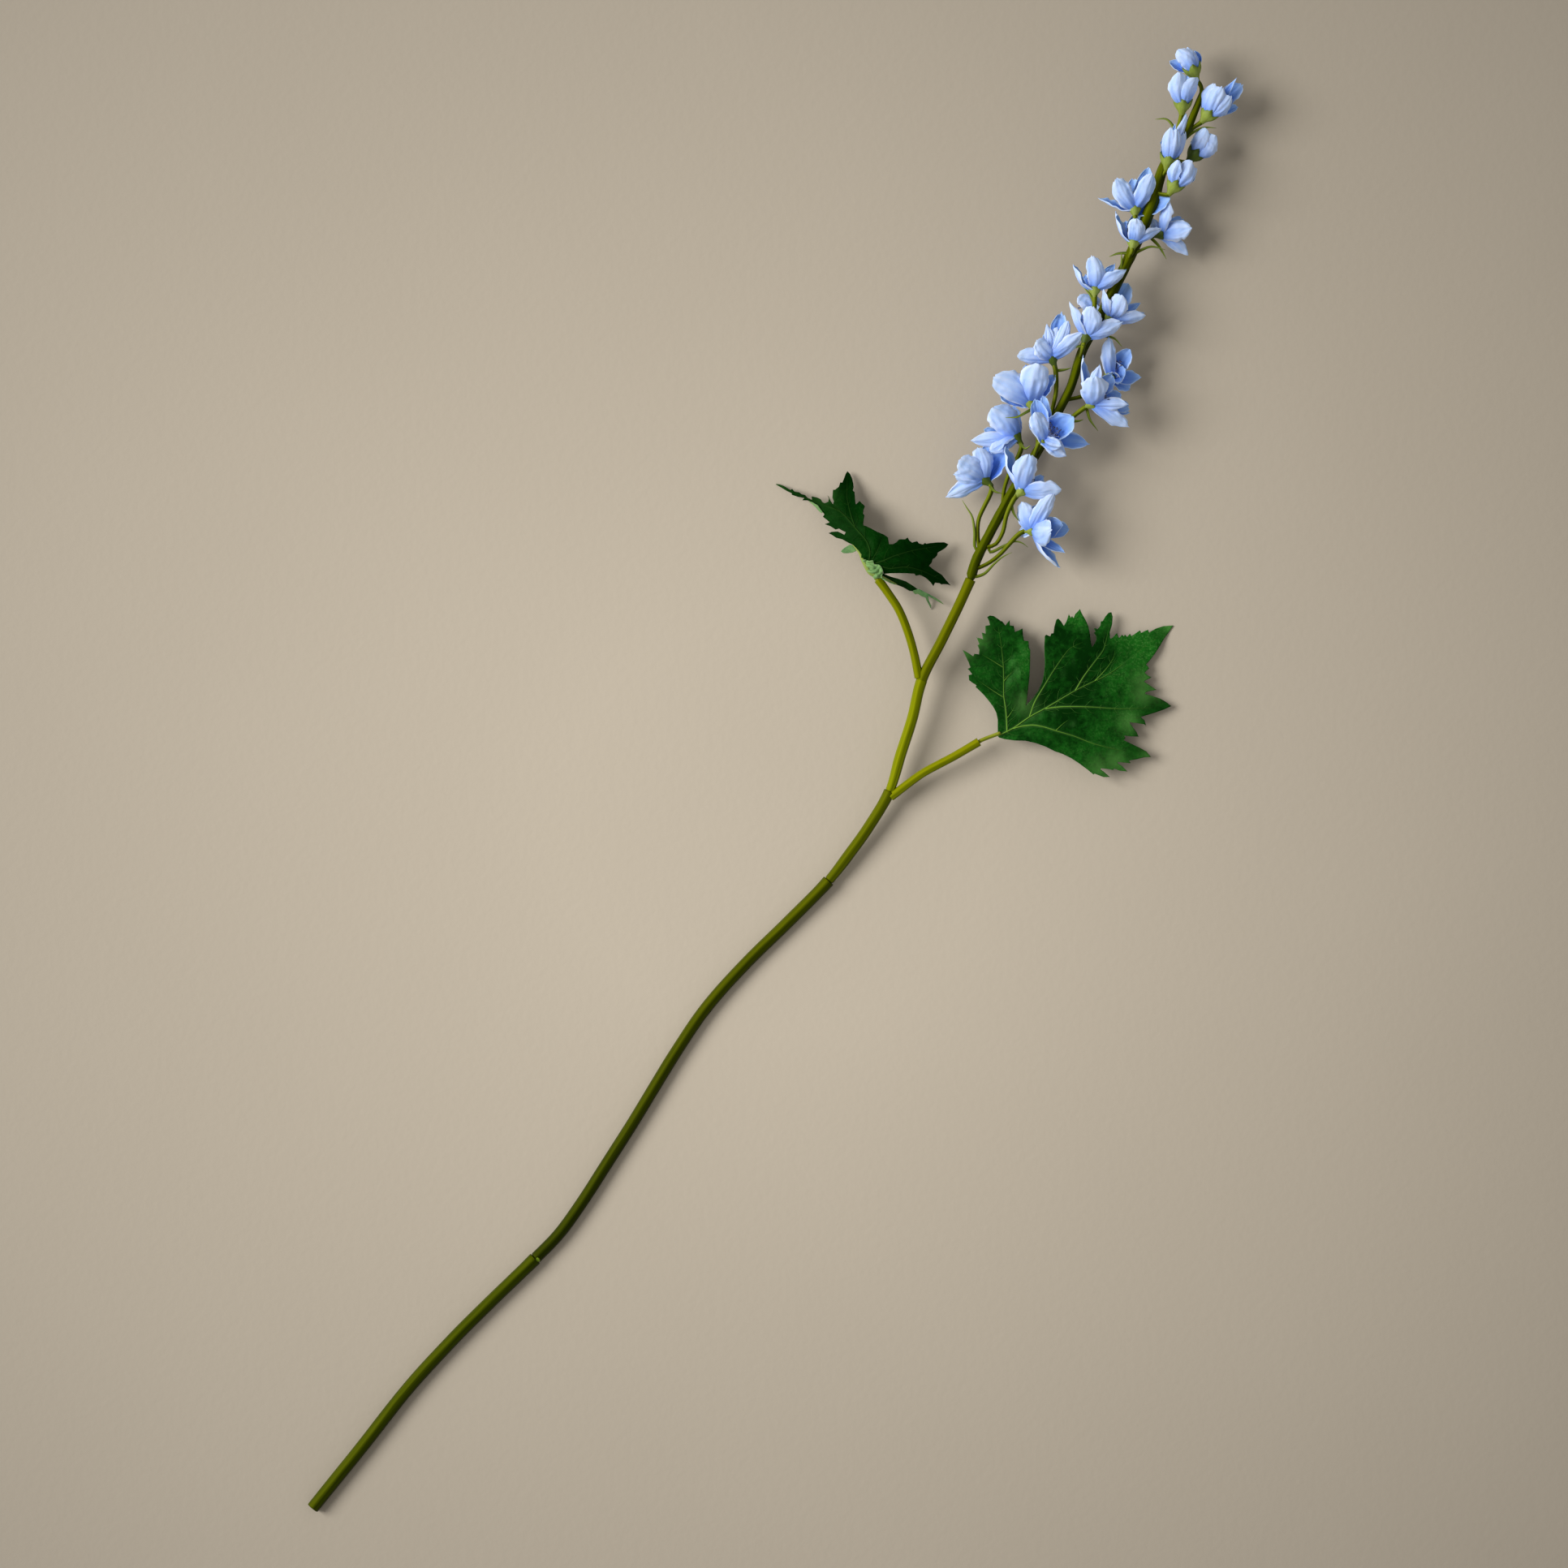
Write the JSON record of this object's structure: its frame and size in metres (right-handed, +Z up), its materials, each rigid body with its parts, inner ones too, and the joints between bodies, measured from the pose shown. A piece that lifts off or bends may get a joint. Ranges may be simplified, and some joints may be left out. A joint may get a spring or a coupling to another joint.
{
  "type": "larkspur",
  "caption": "Artificial larkspur stem lying flat: pale blue buds and open blooms along a spike on a bent, jointed green plastic stem with two lobed fabric leaves.",
  "frame": {"origin": "on the surface that the stem lies on, under the middle of its outline", "axes": "+Z up from that surface; the stem runs from the cut end towards -X and -Y to the tip of the spike towards +X and +Y; +Y is the longest extent"},
  "size_m": [0.4382, 0.6846, 0.0432],
  "materials": {
    "stem_deep_green": "satin, finely ribbed",
    "stem_light_green": "satin, finely ribbed",
    "spike_green": "satin, green to yellow-green",
    "leaf_green": "coated cloth with printed veins",
    "petal_blue": "soft matt cloth with paler edges",
    "stamen_dark": "matt, dark purple-brown"
  },
  "bodies": {
    "root": {"stem_lower": "stem_deep_green", "stem_middle": "stem_deep_green", "stem_upper": "stem_light_green", "stem_neck": "stem_light_green", "stem_sleeve": "stem_light_green", "petiole_left": "stem_light_green", "petiole_right": "stem_light_green", "leaf_left": "leaf_green", "leaf_right": "leaf_green", "spike_axis": "spike_green", "bloom_01": "petal_blue", "bloom_02": "petal_blue", "bloom_03": "petal_blue", "bloom_04": "petal_blue", "bloom_05": "petal_blue", "bloom_06": "petal_blue", "bloom_07": "petal_blue", "stamens_07": "stamen_dark", "bloom_08": "petal_blue", "stamens_08": "stamen_dark", "bloom_09": "petal_blue", "stamens_09": "stamen_dark", "bloom_10": "petal_blue", "stamens_10": "stamen_dark", "bloom_11": "petal_blue", "stamens_11": "stamen_dark", "bloom_12": "petal_blue", "stamens_12": "stamen_dark", "bloom_13": "petal_blue", "stamens_13": "stamen_dark", "bloom_14": "petal_blue", "stamens_14": "stamen_dark", "bloom_15": "petal_blue", "stamens_15": "stamen_dark", "bloom_16": "petal_blue", "stamens_16": "stamen_dark", "bloom_17": "petal_blue", "stamens_17": "stamen_dark", "bloom_18": "petal_blue", "stamens_18": "stamen_dark", "bloom_19": "petal_blue", "stamens_19": "stamen_dark", "bloom_20": "petal_blue", "stamens_20": "stamen_dark", "bloom_21": "petal_blue", "stamens_21": "stamen_dark", "bloom_22": "petal_blue", "stamens_22": "stamen_dark"}
  },
  "joints": []
}
